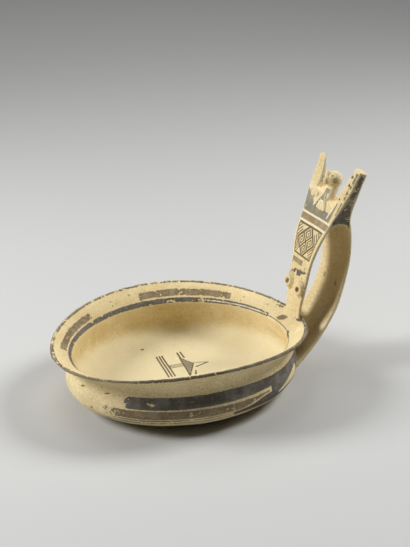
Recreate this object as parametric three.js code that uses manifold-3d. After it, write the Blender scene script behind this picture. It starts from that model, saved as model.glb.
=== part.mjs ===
// Kyathos: a shallow clay bowl with a tall looped strap handle that ends in two horns.
// Millimetres, +Z up, +X towards the handle. The origin is on the bowl's axis, on its flat underside.

import * as THREE from 'three';
import { mergeVertices } from 'three/addons/utils/BufferGeometryUtils.js';
import Module from 'manifold-3d';

const wasm = await Module();
wasm.setup();

// Bowl
const LIP_RADIUS = 98;
const LIP_HEIGHT = 47;
const LIP_THICKNESS = 2.7;
const NECK_CREASE_RADIUS = 81.9;
const NECK_CREASE_HEIGHT = 36.4;
const NECK_OUTER_RADIUS = 85.7;
const NECK_OUTER_HEIGHT = 34.5;
const BELLY_RADIUS = 88.2;
const BELLY_HEIGHT = 21;
const BASE_RADIUS = 34.8;
const WALL = 3.9;
const FLOOR_THICKNESS = 5;
const FLOOR_RADIUS = 30;
const BELLY_SIDE_POWER = 0.925;
const BELLY_FOOT_POWER = 0.651;
const RIM_SAG = 4;
const RIM_SAG_START = 22;
const BOWL_SIDES = 64;

// Handle, all heights above the underside
const STRAP_THICKNESS = 3;
const STRAP_EDGE = 1.1;
const INNER_FOOT_HEIGHT = 39.6;
const OUTER_FOOT_HEIGHT = 7;
const ARCH_HEIGHT = 117;
const ARCH_RISE = 4.5;
const CROTCH_HEIGHT = 132.6;
const CROTCH_TILT = 6.3;
const CROTCH_HEIGHT_IN_HORN = 125;
const HORN_TIP_HEIGHT = 158.6;
const HORN_TIP_SLOPE = 0.45;
const HORN_TIP_FALL = 0.34;
const WORN_HORN_TRIM = 3.6;
const HORN_ROOT_HEIGHT = 119;
const SETBACK = 0.12;
const FOOT_BOW = 3.2;
const STRAP_BOW = 0.8;

// Curves of the handle as [height, distance] pairs, each joined by a smooth curve
const INNER_FACE = [[36, 91.4], [54, 93.4], [78, 99.2], [102, 106.8], [120, 116.8], [138, 126.2], [160, 137]];
const OUTER_FACE = [[7, 80.6], [12, 88.2], [20, 97.1], [36, 110.9], [54, 122.5], [72, 129.5], [90, 133.3],
  [108, 134.5], [122, 133.1], [138, 135.4], [160, 142.6]];
const FAR_EDGE_FORWARD = [[90, 0], [106, 1], [120, 1.1], [133, 1.8], [148, 0.4], [160, 0.3]];
const INNER_HALF_WIDTH = [[38, 12.8], [54, 14], [66, 16], [84, 16.9], [102, 21.6], [118, 25.3], [138, 32.3], [160, 37.2]];
const OUTER_HALF_WIDTH = [[7, 28], [18, 26], [48, 24.5], [68, 22.9], [90, 24.2], [118, 25.3], [138, 32.3], [160, 37.2]];
const HORN_INNER_EDGE = [[119, 13.5], [124, 15.8], [130, 18], [138, 19.7], [148, 24.2], [160, 29.5]];

// Knobs on the inner strap
const KNOB_HEIGHT = 66;
const KNOB_OFFSET = 10.4;
const KNOB_RADIUS = 5.2;
const KNOB_RISE = 3.4;
const KNOB_DIMPLE_RADIUS = 1.4;
const KNOB_DIMPLE_DEPTH = 1.3;
const KNOB_SINK = 1.5;

// Little figure in the fork of the horns
const HEAD_CENTRE = new THREE.Vector3(131.4, 0, 145.8);
const HEAD_RADII = new THREE.Vector3(6.6, 6.2, 6.9);
const PELLET_CENTRE = new THREE.Vector3(128.4, 4.4, 149.4);
const PELLET_RADII = new THREE.Vector3(1.9, 1.7, 2.3);
const FACE_CENTRE = new THREE.Vector3(126.4, 0.6, 149.2);
const FACE_RADII = new THREE.Vector3(2.3, 2.9, 5);
const MUZZLE_CENTRE = new THREE.Vector3(124.9, 0.6, 145.6);
const MUZZLE_RADII = new THREE.Vector3(2.5, 2.6, 2.7);
const HEAD_SIDES = 16;
const FEATURE_SIDES = 12;
const BODY_FOOT_HEIGHT = 118;
const BODY_TOP_HEIGHT = 141.5;
const BODY_PROUD = 1.8;
const BODY_DEPTH = 7.2;
const BODY_HALF_WIDTH = [[118, 8.2], [126, 7], [134, 6], [141.5, 4.6]];

const CLAY_COLOUR = 0xd9c9a3;
const CLAY_ROUGHNESS = 0.85;

// Value at a height on a smooth curve through [height, value] pairs
function along(pairs, height) {
  const last = pairs.length - 1;
  const slopeAt = (i) => {
    const before = pairs[Math.max(i - 1, 0)];
    const after = pairs[Math.min(i + 1, last)];
    return (after[1] - before[1]) / (after[0] - before[0]);
  };
  let i = 0;
  while (i < last - 1 && height > pairs[i + 1][0]) {
    i += 1;
  }
  const [h0, v0] = pairs[i];
  const [h1, v1] = pairs[i + 1];
  const span = h1 - h0;
  const t = THREE.MathUtils.clamp((height - h0) / span, 0, 1);
  const t2 = t * t;
  const t3 = t2 * t;
  return (2 * t3 - 3 * t2 + 1) * v0 + (t3 - 2 * t2 + t) * span * slopeAt(i)
    + (3 * t2 - 2 * t3) * v1 + (t3 - t2) * span * slopeAt(i + 1);
}

function solidOf(geometry) {
  const bare = geometry.index ? geometry.clone() : geometry;
  bare.deleteAttribute('normal');
  bare.deleteAttribute('uv');
  const merged = mergeVertices(bare, 1e-3);
  return new wasm.Manifold(new wasm.Mesh({
    numProp: 3,
    vertProperties: Float32Array.from(merged.attributes.position.array),
    triVerts: Uint32Array.from(merged.index.array),
  }));
}

function geometryOf(solid) {
  const mesh = solid.getMesh();
  const geometry = new THREE.BufferGeometry();
  geometry.setAttribute('position', new THREE.BufferAttribute(mesh.vertProperties, 3));
  geometry.setIndex(new THREE.BufferAttribute(mesh.triVerts, 1));
  geometry.computeVertexNormals();
  return geometry;
}

// Moves every point of a geometry by a function of its place
function reshape(geometry, place) {
  const position = geometry.attributes.position;
  const point = new THREE.Vector3();
  for (let i = 0; i < position.count; i += 1) {
    point.fromBufferAttribute(position, i);
    const moved = place(point);
    position.setXYZ(i, moved.x, moved.y, moved.z);
  }
  return geometry;
}

// Block whose points are placed from depth and width, both -1 to 1, and rise, 0 to 1
function block(steps, place) {
  const box = new THREE.BoxGeometry(2, 2, 1, steps.depth, steps.width, steps.rise);
  return solidOf(reshape(box, (p) => place(p.x, p.y, p.z + 0.5)));
}

// Share of the half width that a rounded edge leaves at a depth of -1 to 1
function roundedWidth(halfWidth, depth) {
  return halfWidth - STRAP_EDGE * (1 - Math.sqrt(Math.max(1 - depth * depth, 0)));
}

// Squeezes the corners of a square section of -1 to 1 into round ones
function softCorner(value, other, softness) {
  return value * Math.sqrt(1 - 0.5 * softness * other * other);
}

function curvePoints(count, place) {
  return Array.from({ length: count + 1 }, (_, i) => new THREE.Vector2(...place(i / count)));
}

// Rounded lower wall from the belly in to the foot
function lowerWall(bellyRadius, footRadius, footHeight) {
  return (t) => {
    const angle = t * Math.PI / 2;
    const radius = footRadius + (bellyRadius - footRadius) * Math.cos(angle) ** BELLY_SIDE_POWER;
    const height = footHeight + (BELLY_HEIGHT - footHeight) * (1 - Math.sin(angle) ** BELLY_FOOT_POWER);
    return [radius, height];
  };
}

// Gentle S from the belly up to the neck
function shoulder(bellyRadius, neckRadius, neckHeight) {
  return (t) => {
    const ease = (1 - Math.cos(Math.PI * t)) / 2;
    return [bellyRadius + (neckRadius - bellyRadius) * ease, BELLY_HEIGHT + (neckHeight - BELLY_HEIGHT) * t];
  };
}

// Flare of the rim, a curve that starts upright at the neck and leans out to the lip
function flare(neckRadius, neckHeight, lipRadius, lipHeight, hollow) {
  const curve = new THREE.QuadraticBezierCurve(
    new THREE.Vector2(neckRadius, neckHeight),
    new THREE.Vector2(neckRadius + hollow, (neckHeight + lipHeight) / 2),
    new THREE.Vector2(lipRadius, lipHeight),
  );
  return (t) => curve.getPoint(t).toArray();
}

// Full wall section of the bowl, from the underside's centre round the lip to the floor's centre
function bowlProfile() {
  const lipHalf = LIP_THICKNESS / 2;
  const lipCentre = new THREE.Vector2(LIP_RADIUS - lipHalf, LIP_HEIGHT);
  const lipStart = -Math.PI / 3;
  const lipEnd = 0.75 * Math.PI;
  const lip = (t) => {
    const angle = lipStart + (lipEnd - lipStart) * t;
    return [lipCentre.x + lipHalf * Math.cos(angle), lipCentre.y + lipHalf * Math.sin(angle)];
  };
  const lipUnder = lip(0);
  const lipInside = lip(1);
  const innerBelly = BELLY_RADIUS - WALL;
  const outerLow = curvePoints(9, lowerWall(BELLY_RADIUS, BASE_RADIUS, 0)).reverse();
  const outerShoulder = curvePoints(4, shoulder(BELLY_RADIUS, NECK_OUTER_RADIUS, NECK_OUTER_HEIGHT));
  const outerFlare = curvePoints(4, flare(NECK_OUTER_RADIUS, NECK_OUTER_HEIGHT, ...lipUnder, 1.8));
  const innerFlare = curvePoints(4, flare(NECK_CREASE_RADIUS, NECK_CREASE_HEIGHT, ...lipInside, 3.4)).reverse();
  const innerShoulder = curvePoints(4, shoulder(innerBelly, NECK_CREASE_RADIUS, NECK_CREASE_HEIGHT)).reverse();
  const innerLow = curvePoints(8, lowerWall(innerBelly, FLOOR_RADIUS, FLOOR_THICKNESS));
  return [
    new THREE.Vector2(0, 0),
    ...outerLow,
    ...outerShoulder.slice(1),
    ...outerFlare.slice(1),
    ...curvePoints(4, lip).slice(1),
    ...innerFlare.slice(1),
    ...innerShoulder.slice(1),
    ...innerLow.slice(1),
    new THREE.Vector2(0, FLOOR_THICKNESS),
  ];
}

// The rim sags towards the handle and away from it, and stands higher at the two sides
function rimSag(point) {
  const share = Math.max(point.z - RIM_SAG_START, 0) / (LIP_HEIGHT - RIM_SAG_START);
  const angle = Math.atan2(point.y, point.x);
  return point.setZ(point.z - RIM_SAG * share * share * Math.cos(2 * angle));
}

function bowl() {
  const turned = new THREE.LatheGeometry(bowlProfile(), BOWL_SIDES);
  turned.rotateX(Math.PI / 2);
  return solidOf(reshape(turned, rimSag));
}

// Horizontal depth of a strap of even thickness that leans with the curve of its face
function leaningDepth(face, height) {
  const step = 1;
  const lean = (along(face, height + step) - along(face, height - step)) / (2 * step);
  return STRAP_THICKNESS * Math.sqrt(1 + lean * lean);
}

// Front face of the inner strap and horns; its far edge stands a little forward of the near one
function frontAt(height, width) {
  return along(INNER_FACE, height) - Math.max(width, 0) * along(FAR_EDGE_FORWARD, height);
}

function innerStrap() {
  return block({ depth: 4, width: 2, rise: 16 }, (depth, width, rise) => {
    const height = THREE.MathUtils.lerp(INNER_FOOT_HEIGHT, ARCH_HEIGHT + 2, rise);
    const front = frontAt(height, width) + SETBACK;
    const behind = (depth + 1) / 2 * leaningDepth(INNER_FACE, height);
    const halfWidth = roundedWidth(along(INNER_HALF_WIDTH, height) - SETBACK, depth);
    return new THREE.Vector3(front + behind, width * halfWidth, height);
  });
}

// The outer strap bows across its width, most where its foot is pressed round the belly
function outerStrap() {
  return block({ depth: 4, width: 4, rise: 22 }, (depth, width, rise) => {
    const height = THREE.MathUtils.lerp(OUTER_FOOT_HEIGHT, ARCH_HEIGHT + 2, rise);
    const nearFoot = THREE.MathUtils.clamp(1 - (height - OUTER_FOOT_HEIGHT) / 40, 0, 1);
    const nearCrown = THREE.MathUtils.clamp((ARCH_HEIGHT - height) / 30, 0, 1);
    const bow = (STRAP_BOW * nearCrown + (FOOT_BOW - STRAP_BOW) * nearFoot) * (1 - width * width);
    const back = along(OUTER_FACE, height) - SETBACK;
    const spread = leaningDepth(OUTER_FACE, height) * (1 + 0.6 * nearFoot ** 3);
    const halfWidth = roundedWidth(along(OUTER_HALF_WIDTH, height) - SETBACK, depth);
    return new THREE.Vector3(back + bow - (1 - depth) / 2 * spread, width * halfWidth, height);
  });
}

// Top of the web across its width: higher on the far side of the figure, and out of sight inside the horns
function crotchAt(width) {
  const hornSide = 2 / 3;
  const inHorn = THREE.MathUtils.clamp((Math.abs(width) - hornSide) / (1 - hornSide), 0, 1);
  return THREE.MathUtils.lerp(CROTCH_HEIGHT + CROTCH_TILT * width, CROTCH_HEIGHT_IN_HORN, inHorn);
}

// Solid web between the straps, with the loop's round arch below and the fork above
function crown() {
  return block({ depth: 6, width: 6, rise: 4 }, (depth, width, rise) => {
    const foot = ARCH_HEIGHT - ARCH_RISE * depth * depth;
    const height = THREE.MathUtils.lerp(foot, crotchAt(width), rise);
    const reach = THREE.MathUtils.lerp(frontAt(height, width), along(OUTER_FACE, height), (depth + 1) / 2);
    const halfWidth = roundedWidth(along(INNER_HALF_WIDTH, height), depth);
    return new THREE.Vector3(reach, width * halfWidth, height);
  });
}

// The horn on the far side is worn thinner towards its tip than the near one
function horn(side) {
  const softness = 0.35;
  const trim = side > 0 ? WORN_HORN_TRIM : 0;
  return block({ depth: 4, width: 4, rise: 9 }, (depth, width, rise) => {
    const middle = THREE.MathUtils.lerp(HORN_ROOT_HEIGHT, HORN_TIP_HEIGHT, rise);
    const front = frontAt(middle, side) + SETBACK;
    const back = along(OUTER_FACE, middle) - SETBACK - trim * rise;
    const near = along(HORN_INNER_EDGE, middle);
    const far = along(INNER_HALF_WIDTH, middle) - SETBACK;
    const x = (front + back) / 2 + softCorner(depth, width, softness) * (back - front) / 2;
    const y = (near + far) / 2 + side * softCorner(width, depth, softness) * (far - near) / 2;
    const slope = HORN_TIP_SLOPE * (x - (front + back) / 2) + HORN_TIP_FALL * (y - (near + far) / 2);
    return new THREE.Vector3(x, side * y, middle - rise * slope);
  });
}

function ellipsoid(centre, radii, sides) {
  const ball = new THREE.SphereGeometry(1, sides, Math.round(sides / 2));
  ball.rotateX(Math.PI / 2);
  ball.scale(radii.x, radii.y, radii.z);
  ball.translate(centre.x, centre.y, centre.z);
  return solidOf(ball);
}

// Little figure: a post of a body and a round head with a tall face, a muzzle and a pellet on each side
function figure() {
  const softness = 0.7;
  const body = block({ depth: 4, width: 4, rise: 6 }, (depth, width, rise) => {
    const height = THREE.MathUtils.lerp(BODY_FOOT_HEIGHT, BODY_TOP_HEIGHT, rise);
    const front = along(INNER_FACE, height) - BODY_PROUD * Math.sin(Math.PI * rise);
    const back = along(INNER_FACE, height) + BODY_DEPTH;
    const x = (front + back) / 2 + softCorner(depth, width, softness) * (back - front) / 2;
    const y = softCorner(width, depth, softness) * along(BODY_HALF_WIDTH, height);
    return new THREE.Vector3(x, y, height);
  });
  const nearPellet = PELLET_CENTRE.clone().setY(-PELLET_CENTRE.y);
  return body
    .add(ellipsoid(HEAD_CENTRE, HEAD_RADII, HEAD_SIDES))
    .add(ellipsoid(FACE_CENTRE, FACE_RADII, FEATURE_SIDES))
    .add(ellipsoid(MUZZLE_CENTRE, MUZZLE_RADII, FEATURE_SIDES))
    .add(ellipsoid(PELLET_CENTRE, PELLET_RADII, FEATURE_SIDES))
    .add(ellipsoid(nearPellet, PELLET_RADII, FEATURE_SIDES));
}

// Applied knob: a low round button with a dimple, its back sunk in the strap
function knob(side) {
  const rim = curvePoints(3, (t) => {
    const angle = t * Math.PI / 2;
    return [KNOB_RADIUS * (0.62 + 0.38 * Math.cos(angle)), KNOB_RISE * Math.sin(angle)];
  });
  const profile = [
    new THREE.Vector2(0, -KNOB_SINK),
    new THREE.Vector2(KNOB_RADIUS, -KNOB_SINK),
    ...rim,
    new THREE.Vector2(KNOB_DIMPLE_RADIUS, KNOB_RISE),
    new THREE.Vector2(0, KNOB_RISE - KNOB_DIMPLE_DEPTH),
  ];
  const button = new THREE.LatheGeometry(profile, 16);
  const step = 1;
  const lean = Math.atan2(
    along(INNER_FACE, KNOB_HEIGHT + step) - along(INNER_FACE, KNOB_HEIGHT - step),
    2 * step,
  );
  button.rotateZ(Math.PI / 2);
  button.rotateY(lean);
  button.translate(along(INNER_FACE, KNOB_HEIGHT), side * KNOB_OFFSET, KNOB_HEIGHT);
  return solidOf(button);
}

function kyathos() {
  const pieces = [innerStrap(), outerStrap(), crown(), figure()];
  for (const side of [-1, 1]) {
    pieces.push(horn(side), knob(side));
  }
  return geometryOf(pieces.reduce((whole, piece) => whole.add(piece), bowl()));
}

const clay = new THREE.MeshStandardMaterial({
  color: CLAY_COLOUR,
  roughness: CLAY_ROUGHNESS,
  metalness: 0,
});

const vessel = new THREE.Mesh(kyathos(), clay);
vessel.name = 'kyathos';

const part = new THREE.Group();
part.add(vessel);

export default part;
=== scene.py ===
"""Kyathos: a shallow painted clay bowl with a tall looped strap handle and two horns.

Shapes are made in millimetres, in the frame of the CAD model, and scaled to metres at the end.
"""

import math

import bpy
import numpy as np
from mathutils import Matrix, Vector


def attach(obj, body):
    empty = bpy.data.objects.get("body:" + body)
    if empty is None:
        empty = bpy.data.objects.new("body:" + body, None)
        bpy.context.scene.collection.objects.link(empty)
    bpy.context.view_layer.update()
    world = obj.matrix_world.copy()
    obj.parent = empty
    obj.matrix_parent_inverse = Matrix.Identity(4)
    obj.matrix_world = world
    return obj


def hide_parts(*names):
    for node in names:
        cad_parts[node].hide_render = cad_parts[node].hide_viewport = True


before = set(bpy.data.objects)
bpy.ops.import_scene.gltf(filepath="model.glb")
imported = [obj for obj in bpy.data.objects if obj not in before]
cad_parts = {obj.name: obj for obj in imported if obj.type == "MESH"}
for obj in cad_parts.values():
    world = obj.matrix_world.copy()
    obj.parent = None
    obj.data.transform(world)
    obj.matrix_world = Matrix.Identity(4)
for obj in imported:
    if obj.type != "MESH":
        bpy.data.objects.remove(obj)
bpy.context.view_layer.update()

MM = 0.001

# Bowl: millimetres, with pairs as (radius, height)
LIP_RADIUS = 98.0
LIP_HEIGHT = 47.0
LIP_THICKNESS = 2.7
LIP_ROUND = (-math.pi / 3, 0.75 * math.pi)
NECK_CREASE = (81.9, 36.4)
NECK_OUTER = (85.7, 34.5)
BELLY_RADIUS = 88.2
BELLY_HEIGHT = 21.0
BASE_RADIUS = 34.8
WALL = 3.9
FLOOR_THICKNESS = 5.0
FLOOR_RADIUS = 30.0
BELLY_SIDE_POWER = 0.925
BELLY_FOOT_POWER = 0.651
FLARE_HOLLOW_OUTSIDE = 1.8
FLARE_HOLLOW_INSIDE = 3.4
RIM_SAG = 4.0
RIM_SAG_START = 22.0
BOWL_SIDES = 360

# Handle: pairs are (height, value), and a face's value is its distance from the bowl's axis
STRAP_THICKNESS = 3.0
STRAP_EDGE = 1.2
INNER_FOOT_HEIGHT = 39.6
OUTER_FOOT_HEIGHT = 7.0
ARCH_HEIGHT = 117.0
ARCH_RISE = 4.5
STRAP_OVERLAP = 2
CROTCH_HEIGHT = 132.6
CROTCH_TILT = 6.3
CROTCH_HEIGHT_IN_HORN = 125.0
HORN_TIP_HEIGHT = 158.6
HORN_TIP_SLOPE = 0.45
HORN_TIP_FALL = 0.34
WORN_HORN_TRIM = 3.6
WORN_HORN_BEVEL = 2.4
HORN_SOFTNESS = 0.35
HORN_ROOT_HEIGHT = 119.0
FOOT_BOW = 3.2
STRAP_BOW = 0.8
FOOT_REACH = 40
FOOT_THICKENING = 0.6
CROWN_REACH = 30
INNER_FACE = [(36, 91.4), (54, 93.4), (78, 99.2), (102, 106.8), (120, 116.8), (138, 126.2), (160, 137)]
OUTER_FACE = [(7, 80.6), (12, 88.2), (20, 97.1), (36, 110.9), (54, 122.5), (72, 129.5), (90, 133.3),
              (108, 134.5), (122, 133.1), (138, 135.4), (160, 142.6)]
FAR_EDGE_FORWARD = [(90, 0), (106, 1), (120, 1.1), (133, 1.8), (148, 0.4), (160, 0.3)]
CROWN_HALF_WIDTH = [(118, 25.3), (138, 32.3), (160, 37.2)]
INNER_HALF_WIDTH = [(38, 12.8), (54, 14), (66, 16), (84, 16.9), (102, 21.6), *CROWN_HALF_WIDTH]
OUTER_HALF_WIDTH = [(7, 28), (18, 26), (48, 24.5), (68, 22.9), (90, 24.2), *CROWN_HALF_WIDTH]
HORN_INNER_EDGE = [(119, 13.5), (124, 15.8), (130, 18), (138, 19.7), (148, 24.2), (160, 29.5)]
KNOB_HEIGHT = 66.0
KNOB_OFFSET = 10.4
KNOB_RADIUS = 5.2
KNOB_RISE = 3.0
FAR_KNOB_LIFT = 0.9
KNOB_TURN = -0.22
KNOB_DIMPLE_RADIUS = 2.1
KNOB_DIMPLE_DEPTH = 1.9
BUTTON_ROOT = 1.5
BUTTON_FLAT = 0.68

# Little figure
HEAD_CENTRE = (131.4, 0.0, 145.8)
HEAD_RADII = (6.6, 6.2, 6.9)
FACE_CENTRE = (126.9, 0.6, 149.2)
FACE_RADII = (2.5, 2.9, 5.0)
MUZZLE_CENTRE = (124.9, 0.6, 145.6)
MUZZLE_RADII = (2.5, 2.6, 2.7)
PELLET_AXIS = (-0.45, 0.68, 0.56)
PELLET_RADIUS = 2.6
PELLET_RISE = 1.5
PELLET_SUNK = 0.2
PELLET_DIMPLE_RADIUS = 1.1
PELLET_DIMPLE_DEPTH = 0.8
BODY_FOOT_HEIGHT = 118.0
BODY_TOP_HEIGHT = 141.5
BODY_PROUD = 1.8
BODY_DEPTH = 7.2
BODY_HALF_WIDTH = [(118, 8.2), (126, 7), (134, 6), (141.5, 4.6)]
BODY_SOFTNESS = 0.7
LEG_TOP_HEIGHT = 136.0
LEG_DROP = 10.5
LEG_START = 1.2
LEG_SPREAD = 7.4
LEG_HALF_WIDTH = 1.2
LEG_SUNK = 0.6
LEG_THICKNESS = 1.5
RIDGE_ANGLE = 34
RIDGE_SPACING = 9.5

# Fine surface
VOXEL = 0.55
FILL_ROUNDS = 36
FILL_STRENGTH = 0.8
FILL_LEAST = 0.005
SMOOTH_ROUNDS = 2
TRIANGLES = 190000
WAVES = 10
HAND_WAVE = (0.14, 34)
LIP_WAVE = (0.12, 6)
TIP_WAVE = (0.14, 5)
SETTLE = 0.12
LIP_RUB = 0.18
RIDGE_HEIGHT = 0.35

# How the points' values are read: reach of the bowl from its profile, and the bend of the surface
BOWL_REACH = 0.75
SAG_ROUNDS = 6
BEND_ROUNDS = 6
BEND_SCALE = 4
FRONT_LOWEST = 44

# Colours and gloss of the clay
SPECULAR = 0.28
CREAM = (0.74, 0.605, 0.335)
CREAM_PALE = (0.80, 0.71, 0.49)
CREAM_DEEP = (0.60, 0.445, 0.20)
CREAM_WHITE = (0.83, 0.745, 0.53)
# Paler tone of the bowl's floor, partly the clay's colour and partly painted brightness of the lit floor
PALE_LIT_TONDO = (0.77, 0.68, 0.44)
# Dark brown of stains, specks and pits, also used as painted shade in hollows and round the knobs
STAIN_AND_SHADE = (0.20, 0.12, 0.045)

# Paints: the colour where they are dense and where they are thin
BROWN = ((0.165, 0.115, 0.06), (0.30, 0.228, 0.135))
DARK = ((0.065, 0.058, 0.052), (0.15, 0.142, 0.12))
GREY = ((0.19, 0.18, 0.13), (0.265, 0.25, 0.185))
GREY_RUBBED = ((0.19, 0.18, 0.13), (0.42, 0.36, 0.22))
LIP = ((0.07, 0.056, 0.037), (0.17, 0.137, 0.092))
INK = (0.10, 0.073, 0.036)
PANEL_INK = (INK, (0.15, 0.11, 0.06))
BIRD_INK = (INK, BROWN[0])
BIRD_BODY = ((0.44, 0.33, 0.19), (0.50, 0.39, 0.23))
BIRD_WING = ((0.24, 0.19, 0.13), (0.33, 0.26, 0.17))
HEAD_INK = (STAIN_AND_SHADE, (0.34, 0.24, 0.12))
PALE = (CREAM_WHITE, CREAM_PALE)
# Dark marks, also used as painted shade in the knobs' dimples
SPOT_AND_SHADE = (STAIN_AND_SHADE, STAIN_AND_SHADE)

# Paint on the bowl's inside: millimetres down the wall from the lip's top, and degrees from the handle
LIP_PAINT_INSIDE = 2.1
FLARE_BAND = (8.0, 13.6)
FLARE_STRETCHES = ((44, 95), (127, 167), (-128, -58))
FLARE_END_SLOPE = 1.6
FLECK_BAND = (6.0, 14.8)
FLECK_STRETCHES = ((14, 176), (-150, -50))
NECK_BAND = (15.2, 18.9)
NECK_STRETCHES = ((15, 181), (-181, -35))
NECK_END_SLOPE = 1.4
NECK_LINE = ((-34, 17.0), (16, 17.8))
NECK_GAP = ((17, 16.8), (62, 17.6))
TONDO_LEVEL = 17
FOOT_PATCHES = (((3.7, 12.4), (6.2, 3.0), 25, BROWN), ((12.5, 4.3), (4.5, 1.2), 5, BROWN),
                ((-17.0, 18.5), (9.0, 1.5), -12, DARK), ((-8.0, 3.4), (6.5, 1.6), 8, DARK))

# Bird on the floor: millimetres, as strokes of (start, end, half width at the start, and at the end)
BIRD_LEVEL = 12
BIRD_TAIL = (((-6.2, 50.5), (-7.6, 10.5), 0.75, 0.65), ((-3.9, 50.5), (-5.1, 10.5), 0.75, 0.65),
             ((-1.7, 50.5), (-2.6, 10.5), 0.75, 0.65))
BIRD_LEGS = (((11.3, 50.5), (11.0, 40.0), 0.8, 0.8), ((13.9, 51.0), (14.1, 40.5), 0.7, 0.7))
BIRD_BEAK = (((17.6, 28.2), (28.6, 23.6), 0.35, 0.7), ((28.6, 23.6), (17.8, 19.6), 0.7, 0.9))
BIRD_TOE = ((15.3, 13.6), (13.2, 7.0), 0.5, 0.8)
BIRD_BAR = ((-1.0, 25.4), (10.5, 30.6))
WING_TIP = (17.4, 26.5)
WING_SPAN = (6.5, 41)
FLOOR_SPOT = (-13.7, 65.4)

# Paint on the bowl's outside: heights before the rim's sag, and degrees from the handle
LIP_PAINT_OUTSIDE = 3.1
BELLY_DEGREE = 1.54
END_SLOPE = 1.5
DARK_BAND_TOP = 31.3
DARK_BAND_END = 133
WEDGE_FOOT = 11.6
WEDGE_STRETCH = (54, 82)
BROWN_BAND_FOOT = 15.4
BROWN_BAND_END = 143
BROWN_POINT = 60.5
POINT_RISE = 4.8
BANDS_MEET = 22.4
BANDS_GAP = 0.5
BANDS_GAP_MORE = 0.85
THIN_LINES = (((13.6, 14.5), (50, 142), 0.07), ((11.3, 12.2), (44, 146), 0.05))
BARE_PATCH = ((33.5 * BELLY_DEGREE, 19.4), (53 * BELLY_DEGREE, 15.0), 4.4, 0.8)
BAND_CHIP = ((120.5 * BELLY_DEGREE, 26.6), (2.6, 1.0), 10)
BELLY_SPOTS = ((162, 29.3, (2.6, 0.8)), (144, 30.7, (3.6, 0.7)), (155, 15.7, (1.3, 1.0)))

# Paint on the handle's front: places are (width, height), and single pairs (foot, top) heights
CROWN_FOOT = 118.8
CROWN_TOP = 124.4
CROWN_NEAR_EDGE = -20.5
CROWN_PIECE = ((-18.4, 121), (-22, 133), 2.2, 0.8)
CROWN_BORDER = ((-14.8, 121.4), (-19.6, 135.5), 1.0, 0.7)
CROWN_SPOTS = (((12, 132.4), (1.2, 1.7), 0), ((9, 128.8), (1.3, 0.8), 0),
               ((16.8, 129.6), (1.6, 1.6), 0), ((10.5, 137), (1.5, 2.4), 20))
DRESS_LEGS = (((1.4, 135.6), (9.6, 124.4), 1.3, 2.0), ((-1.4, 135.6), (-8.4, 123.4), 1.3, 1.4))
DRESS_WEDGE = (131.0, 136.2)
DRESS_APRON = ((-3.8, 136.4), (4.2, 139.2))
DRESS_GROUND = (124.5, 137)
HEAD_REACH = 9.6
PELLET_DOT = 0.9
PELLET_RING = 3.0
HEAD_ARCS = (4.3, 5.5, 6.7)
CROWN_BAND = ((-24, 113.1), (26, 117.4))
CROWN_LINES = ((117.4, 118.7), (111.8, 113.1))
PANEL_HEIGHTS = (88.7, 111.3)
PANEL_MIDDLE = 100.1
PANEL_REACH = 11.2
PANEL_FOOT = 89
PANEL_HALF_WIDTH = 14.4
PANEL_WIDENING = 5.2 / 22
DIAMOND_SHARE = 0.82
DIAMOND_PITCH = 8.7
HATCH_PITCH = 2.3
BROWN_PATCH = ((-4.2, 82.2), (14.2, 86.0))
JAGGED_PATCH = (((13.2, 73.6), (5.0, 76.3), 0.7, 1.5), ((6.0, 76.6), (-3.5, 77.0), 1.5, 1.7),
                ((-3.5, 77.4), (-13.0, 79.2), 1.5, 0.6), ((1.5, 74.6), (-5.6, 75.6), 1.3, 0.7))
EDGE_STAIN = ((-17.2, 77), (1.3, 3.4))
STRAP_STAINS = (((10.2, 66.5), (1.7, 1.5), 0.6), ((-10.6, 66.6), (2.2, 1.9), 0.9),
                ((-14.6, 71.5), (0.9, 2.2), 0.7), ((-15.2, 62), (0.8, 2.0), 0.6),
                ((13.5, 81.5), (1.2, 1.5), 0.6), ((-10.5, 82), (1.0, 0.9), 0.6))
KNOB_RING = 6.3
KNOB_HOLE = 2.0
HORN_SPOTS = (((-28.7, 154.0), (1.9, 1.1)), ((-29.0, 148.0), (1.6, 1.1)), ((-22.5, 136.8), (1.6, 0.8)))
HORN_EDGE = 30.2
HORN_EDGE_FOOT = 138
HORN_EDGE_LEAN = 0.22
HORN_EDGE_HEIGHTS = (126, 157)

# Paint on the handle's sides and back
SIDE_FOOT = 112
BACK_BAND = (112.5, 117.0)
BACK_CROWN = (119.5, 127)
BACK_RAILS = 15
BACK_RAIL_HEIGHTS = (40, 108)

# Camera: focal length and image in pixels of the 410 x 547 frame
FOCAL = 1200.0
FRAME_WIDTH = 410
FRAME_HEIGHT = 547
CAMERA_AZIMUTH = 17.048
CAMERA_ELEVATION = 19.81
CAMERA_ROLL = -3.895
CAMERA_DISTANCE = 908.7
RIM_CENTRE_PIXEL = (177.99, 328.66)
RIM_CENTRE_HEIGHT = 47.6
SENSOR = 36

# Light, in metres and watts: (name, place, target, size, power)
LIGHTS = (
    ("left_light", (-1.06, 0.36, 0.78), (0.02, 0, 0.05), 0.6, 18),
    ("right_light", (1.01, -0.15, 0.98), (0.02, 0, 0.05), 0.6, 16),
    ("top_light", (0.0, 0.1, 1.3), (0.0, 0, 0), 0.5, 1.6),
    ("far_light", (0.0, 2.2, 2.6), (0.0, 3.0, 0), 3.0, 36),
)
ROOM_COLOUR = (0.9, 0.93, 1.0, 1)
ROOM_STRENGTH = 0.03
FLOOR_COLOUR = (0.5, 0.5, 0.49, 1)
FLOOR_ROUGHNESS = 0.9
FLOOR_CORNERS = [(-6, -4, 0), (6, -4, 0), (6, 9, 0), (-6, 9, 0)]


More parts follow.
